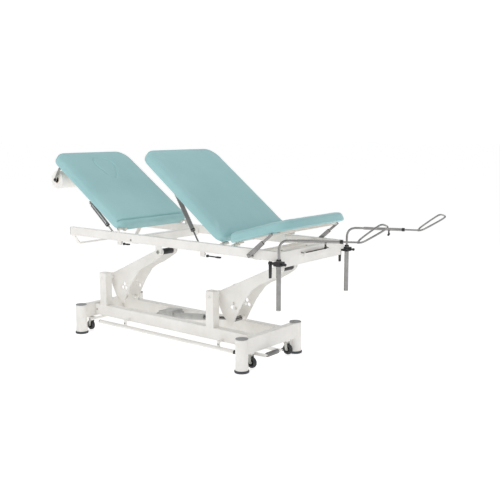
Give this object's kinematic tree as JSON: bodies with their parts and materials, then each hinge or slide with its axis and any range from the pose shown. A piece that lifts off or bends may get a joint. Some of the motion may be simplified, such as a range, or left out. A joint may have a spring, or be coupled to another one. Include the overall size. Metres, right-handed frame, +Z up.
{
  "type": "examination couch",
  "caption": "Powered examination couch with separate head, back and seat sections, leg holders with heel loops, a paper roll and retractable castors on a parallelogram lift.",
  "frame": {"origin": "bottom centre of the bounding box, on the floor", "axes": "+Z up, +X towards the foot end with the leg holders, +Y from the control bar side to the far side"},
  "size_m": [2.3757, 0.9406, 1.2039],
  "materials": {
    "white_paint": "satin powder coat",
    "vinyl": "soft matt vinyl",
    "pale_board": "pale laminate",
    "chrome": "polished",
    "spring_steel": "brushed",
    "black_plastic": "fine grain",
    "grey_plastic": "fine grain",
    "dark_rubber": "matt",
    "tyre_rubber": "matt",
    "zinc": "zinc plated",
    "paper": "matt"
  },
  "bodies": {
    "base": {"base_rail_front": "white_paint", "base_rail_back": "white_paint", "base_end_head": "white_paint", "base_end_foot": "white_paint", "foot_ring_head_front": "dark_rubber", "foot_ring_head_back": "dark_rubber", "foot_ring_foot_front": "dark_rubber", "foot_ring_foot_back": "dark_rubber"},
    "control_bar": {"control_bar": "white_paint"},
    "carrier_head": {"castor_carrier_head": "white_paint"},
    "carrier_foot": {"castor_carrier_foot": "white_paint"},
    "fork_head_front": {"castor_fork_head_front": "zinc"},
    "wheel_head_front": {"castor_wheel_head_front": "tyre_rubber"},
    "fork_head_back": {"castor_fork_head_back": "zinc"},
    "wheel_head_back": {"castor_wheel_head_back": "tyre_rubber"},
    "fork_foot_front": {"castor_fork_foot_front": "zinc"},
    "wheel_foot_front": {"castor_wheel_foot_front": "tyre_rubber"},
    "fork_foot_back": {"castor_fork_foot_back": "zinc"},
    "wheel_foot_back": {"castor_wheel_foot_back": "tyre_rubber"},
    "lift_head": {"lift_arm_head": "white_paint"},
    "lift_foot": {"lift_arm_foot": "white_paint"},
    "actuator_body": {"actuator_body": "grey_plastic"},
    "actuator_rod": {"actuator_rod": "chrome"},
    "upper_frame": {"frame_cross_head": "white_paint", "frame_cross_foot": "white_paint", "frame_rail_front": "white_paint", "frame_rail_back": "white_paint", "frame_strap_head": "white_paint", "frame_end_foot": "white_paint", "stirrup_clamp_front": "black_plastic", "stirrup_clamp_back": "black_plastic"},
    "head_section": {"head_pad": "vinyl", "head_board": "pale_board", "roll_holder": "zinc"},
    "face_plug": {"face_plug": "vinyl"},
    "paper_roll": {"paper_roll": "paper"},
    "back_section": {"back_pad": "vinyl", "back_board": "pale_board"},
    "seat_section": {"seat_pad": "vinyl", "seat_board": "pale_board"},
    "head_spring_body": {"head_spring_body": "spring_steel"},
    "head_spring_rod": {"head_spring_rod": "chrome"},
    "back_spring_body": {"back_spring_body": "spring_steel"},
    "back_spring_rod": {"back_spring_rod": "chrome"},
    "strut_channel_front": {"seat_strut_channel_front": "chrome"},
    "strut_bar_front": {"seat_strut_bar_front": "chrome"},
    "strut_channel_back": {"seat_strut_channel_back": "chrome"},
    "strut_bar_back": {"seat_strut_bar_back": "chrome"},
    "head_release_lever": {"head_release_lever": "black_plastic"},
    "back_release_lever": {"back_release_lever": "black_plastic"},
    "stirrup_tube_front": {"stirrup_tube_front": "chrome"},
    "stirrup_arm_front": {"stirrup_arm_front": "chrome"},
    "stirrup_footrest_front": {"stirrup_footrest_front": "chrome"},
    "stirrup_knob_front": {"stirrup_knob_front": "black_plastic"},
    "clamp_lever_front": {"stirrup_clamp_lever_front": "black_plastic"},
    "stirrup_tube_back": {"stirrup_tube_back": "chrome"},
    "stirrup_arm_back": {"stirrup_arm_back": "chrome"},
    "stirrup_footrest_back": {"stirrup_footrest_back": "chrome"},
    "stirrup_knob_back": {"stirrup_knob_back": "black_plastic"},
    "clamp_lever_back": {"stirrup_clamp_lever_back": "black_plastic"}
  },
  "joints": [
    {"name": "control_bar_rock", "type": "hinge", "parent": "base", "child": "control_bar", "pos_m": [-0.29009, -0.28556, 0.12], "axis": [1, 0, 0], "range_deg": [-5, 5], "stiffness_Nm_per_rad": 60, "springref_deg": -0.41},
    {"name": "castor_pedal", "type": "hinge", "parent": "base", "child": "carrier_foot", "pos_m": [0.34391, -0.13556, 0.088], "axis": [0, 1, 0], "range_deg": [0, 12]},
    {"name": "castor_link", "type": "hinge", "parent": "base", "child": "carrier_head", "pos_m": [-0.92409, -0.13556, 0.088], "axis": [0, 1, 0], "range_deg": [-12, 0]},
    {"name": "castor_swivel_head_front", "type": "hinge", "parent": "carrier_head", "child": "fork_head_front", "pos_m": [-0.96209, -0.30556, 0.08], "axis": [0, 0, 1], "continuous": true},
    {"name": "castor_spin_head_front", "type": "hinge", "parent": "fork_head_front", "child": "wheel_head_front", "pos_m": [-0.97009, -0.30556, 0.038], "axis": [0, 1, 0], "continuous": true},
    {"name": "castor_swivel_head_back", "type": "hinge", "parent": "carrier_head", "child": "fork_head_back", "pos_m": [-0.96209, 0.03444, 0.08], "axis": [0, 0, 1], "continuous": true},
    {"name": "castor_spin_head_back", "type": "hinge", "parent": "fork_head_back", "child": "wheel_head_back", "pos_m": [-0.97009, 0.03444, 0.038], "axis": [0, 1, 0], "continuous": true},
    {"name": "castor_swivel_foot_front", "type": "hinge", "parent": "carrier_foot", "child": "fork_foot_front", "pos_m": [0.38191, -0.30556, 0.08], "axis": [0, 0, 1], "continuous": true},
    {"name": "castor_spin_foot_front", "type": "hinge", "parent": "fork_foot_front", "child": "wheel_foot_front", "pos_m": [0.38991, -0.30556, 0.038], "axis": [0, 1, 0], "continuous": true},
    {"name": "castor_swivel_foot_back", "type": "hinge", "parent": "carrier_foot", "child": "fork_foot_back", "pos_m": [0.38191, 0.03444, 0.08], "axis": [0, 0, 1], "continuous": true},
    {"name": "castor_spin_foot_back", "type": "hinge", "parent": "fork_foot_back", "child": "wheel_foot_back", "pos_m": [0.38991, 0.03444, 0.038], "axis": [0, 1, 0], "continuous": true},
    {"name": "lift", "type": "hinge", "parent": "base", "child": "lift_head", "pos_m": [-0.86709, -0.13556, 0.358], "axis": [0, -1, 0], "range_deg": [-35, 29.5]},
    {"name": "lift_foot", "type": "hinge", "parent": "base", "child": "lift_foot", "pos_m": [0.05991, -0.13556, 0.358], "axis": [0, -1, 0], "range_deg": [-35.5, 30]},
    {"name": "frame_level", "type": "hinge", "parent": "lift_head", "child": "upper_frame", "pos_m": [-0.42753, -0.13556, 0.56297], "axis": [0, -1, 0], "range_deg": [-30, 35.5]},
    {"name": "actuator_swing", "type": "hinge", "parent": "base", "child": "actuator_body", "pos_m": [-0.51009, -0.13556, 0.14], "axis": [0, -1, 0], "range_deg": [-4, 4]},
    {"name": "actuator_stroke", "type": "slide", "parent": "actuator_body", "child": "actuator_rod", "axis": [0.993, 0, 0.1177], "range_m": [-0.094, 0.08]},
    {"name": "head_tilt", "type": "hinge", "parent": "upper_frame", "child": "head_section", "pos_m": [-0.53609, -0.13556, 0.722], "axis": [0, 1, 0], "range_deg": [-34, 4]},
    {"name": "face_plug_lift", "type": "slide", "parent": "head_section", "child": "face_plug", "axis": [0.5592, 0, 0.829], "range_m": [0, 0.08]},
    {"name": "paper_roll_spin", "type": "hinge", "parent": "head_section", "child": "paper_roll", "pos_m": [-1.12483, -0.13556, 0.99366], "axis": [0, 1, 0], "continuous": true},
    {"name": "back_tilt", "type": "hinge", "parent": "upper_frame", "child": "back_section", "pos_m": [0.25791, -0.13556, 0.7], "axis": [0, 1, 0], "range_deg": [-36.8, 23.2]},
    {"name": "seat_tilt", "type": "hinge", "parent": "upper_frame", "child": "seat_section", "pos_m": [0.33691, -0.13556, 0.7], "axis": [0, -1, 0], "range_deg": [-15.3, 4.7]},
    {"name": "head_spring_swing", "type": "hinge", "parent": "head_section", "child": "head_spring_body", "pos_m": [-0.83877, -0.38756, 0.85982], "axis": [0, 1, 0], "range_deg": [-2, 2]},
    {"name": "head_spring_stroke", "type": "slide", "parent": "head_spring_body", "child": "head_spring_rod", "axis": [0.7716, 0, -0.6361], "range_m": [-0.056, 0.01]},
    {"name": "back_spring_swing", "type": "hinge", "parent": "back_section", "child": "back_spring_body", "pos_m": [-0.13806, -0.35056, 0.972], "axis": [0, 1, 0], "range_deg": [-6, 6]},
    {"name": "back_spring_stroke", "type": "slide", "parent": "back_spring_body", "child": "back_spring_rod", "axis": [0.5286, 0, -0.8488], "range_m": [-0.116, 0.075]},
    {"name": "seat_strut_swing_front", "type": "hinge", "parent": "upper_frame", "child": "strut_channel_front", "pos_m": [0.48491, -0.44556, 0.668], "axis": [0, -1, 0], "range_deg": [-26, 9]},
    {"name": "seat_strut_stroke_front", "type": "slide", "parent": "strut_channel_front", "child": "strut_bar_front", "axis": [0.7692, 0, 0.6391], "range_m": [-0.029, 0.01]},
    {"name": "seat_strut_swing_back", "type": "hinge", "parent": "upper_frame", "child": "strut_channel_back", "pos_m": [0.48491, 0.17444, 0.668], "axis": [0, -1, 0], "range_deg": [-26, 9]},
    {"name": "seat_strut_stroke_back", "type": "slide", "parent": "strut_channel_back", "child": "strut_bar_back", "axis": [0.7692, 0, 0.6391], "range_m": [-0.029, 0.01]},
    {"name": "head_release", "type": "hinge", "parent": "upper_frame", "child": "head_release_lever", "pos_m": [-0.53609, -0.38956, 0.627], "axis": [0, -1, 0], "range_deg": [0, 12], "stiffness_Nm_per_rad": 0.4, "springref_deg": -8.59},
    {"name": "back_release", "type": "hinge", "parent": "upper_frame", "child": "back_release_lever", "pos_m": [0.10991, -0.35256, 0.614], "axis": [0, -1, 0], "range_deg": [0, 12], "stiffness_Nm_per_rad": 0.8, "springref_deg": -8.59},
    {"name": "stirrup_height_front", "type": "slide", "parent": "upper_frame", "child": "stirrup_tube_front", "axis": [0, 0, 1], "range_m": [0, 0.16]},
    {"name": "stirrup_swivel_front", "type": "hinge", "parent": "stirrup_tube_front", "child": "stirrup_arm_front", "pos_m": [0.68691, -0.45856, 0.767], "axis": [0, 0, 1], "range_deg": [-110, 0]},
    {"name": "stirrup_reach_front", "type": "slide", "parent": "stirrup_arm_front", "child": "stirrup_footrest_front", "axis": [0.891, 0.454, 0], "range_m": [-0.06, 0.12]},
    {"name": "stirrup_knob_turn_front", "type": "hinge", "parent": "stirrup_arm_front", "child": "stirrup_knob_front", "pos_m": [0.8963, -0.35188, 0.741], "axis": [0, 0, 1], "continuous": true},
    {"name": "stirrup_clamp_turn_front", "type": "hinge", "parent": "upper_frame", "child": "clamp_lever_front", "pos_m": [0.62991, -0.46456, 0.645], "axis": [1, 0, 0], "range_deg": [-48, 48]},
    {"name": "stirrup_height_back", "type": "slide", "parent": "upper_frame", "child": "stirrup_tube_back", "axis": [0, 0, 1], "range_m": [0, 0.16]},
    {"name": "stirrup_swivel_back", "type": "hinge", "parent": "stirrup_tube_back", "child": "stirrup_arm_back", "pos_m": [0.68691, 0.18744, 0.767], "axis": [0, 0, 1], "range_deg": [-45, 65]},
    {"name": "stirrup_reach_back", "type": "slide", "parent": "stirrup_arm_back", "child": "stirrup_footrest_back", "axis": [0.9304, 0.3665, 0], "range_m": [-0.06, 0.12]},
    {"name": "stirrup_knob_turn_back", "type": "hinge", "parent": "stirrup_arm_back", "child": "stirrup_knob_back", "pos_m": [0.90556, 0.27356, 0.741], "axis": [0, 0, 1], "continuous": true},
    {"name": "stirrup_clamp_turn_back", "type": "hinge", "parent": "upper_frame", "child": "clamp_lever_back", "pos_m": [0.62991, 0.19344, 0.645], "axis": [1, 0, 0], "range_deg": [-48, 48]}
  ],
  "couplings": [
    {"joint": "castor_link", "follows": "castor_pedal", "ratio": -1},
    {"joint": "lift_foot", "follows": "lift", "ratio": 1},
    {"joint": "frame_level", "follows": "lift", "ratio": -1},
    {"joint": "actuator_swing", "follows": "lift", "ratio": 0.0957},
    {"joint": "actuator_stroke", "follows": "lift", "m_per_rad": 0.14987},
    {"joint": "head_spring_swing", "follows": "head_tilt", "ratio": -0.038527},
    {"joint": "head_spring_stroke", "follows": "head_tilt", "m_per_rad": 0.090166},
    {"joint": "back_spring_swing", "follows": "back_tilt", "ratio": 0.14012},
    {"joint": "back_spring_stroke", "follows": "back_tilt", "m_per_rad": 0.17726},
    {"joint": "seat_strut_swing_front", "follows": "seat_tilt", "ratio": 1.6363},
    {"joint": "seat_strut_stroke_front", "follows": "seat_tilt", "m_per_rad": 0.10235},
    {"joint": "seat_strut_swing_back", "follows": "seat_tilt", "ratio": 1.6363},
    {"joint": "seat_strut_stroke_back", "follows": "seat_tilt", "m_per_rad": 0.10235}
  ]
}
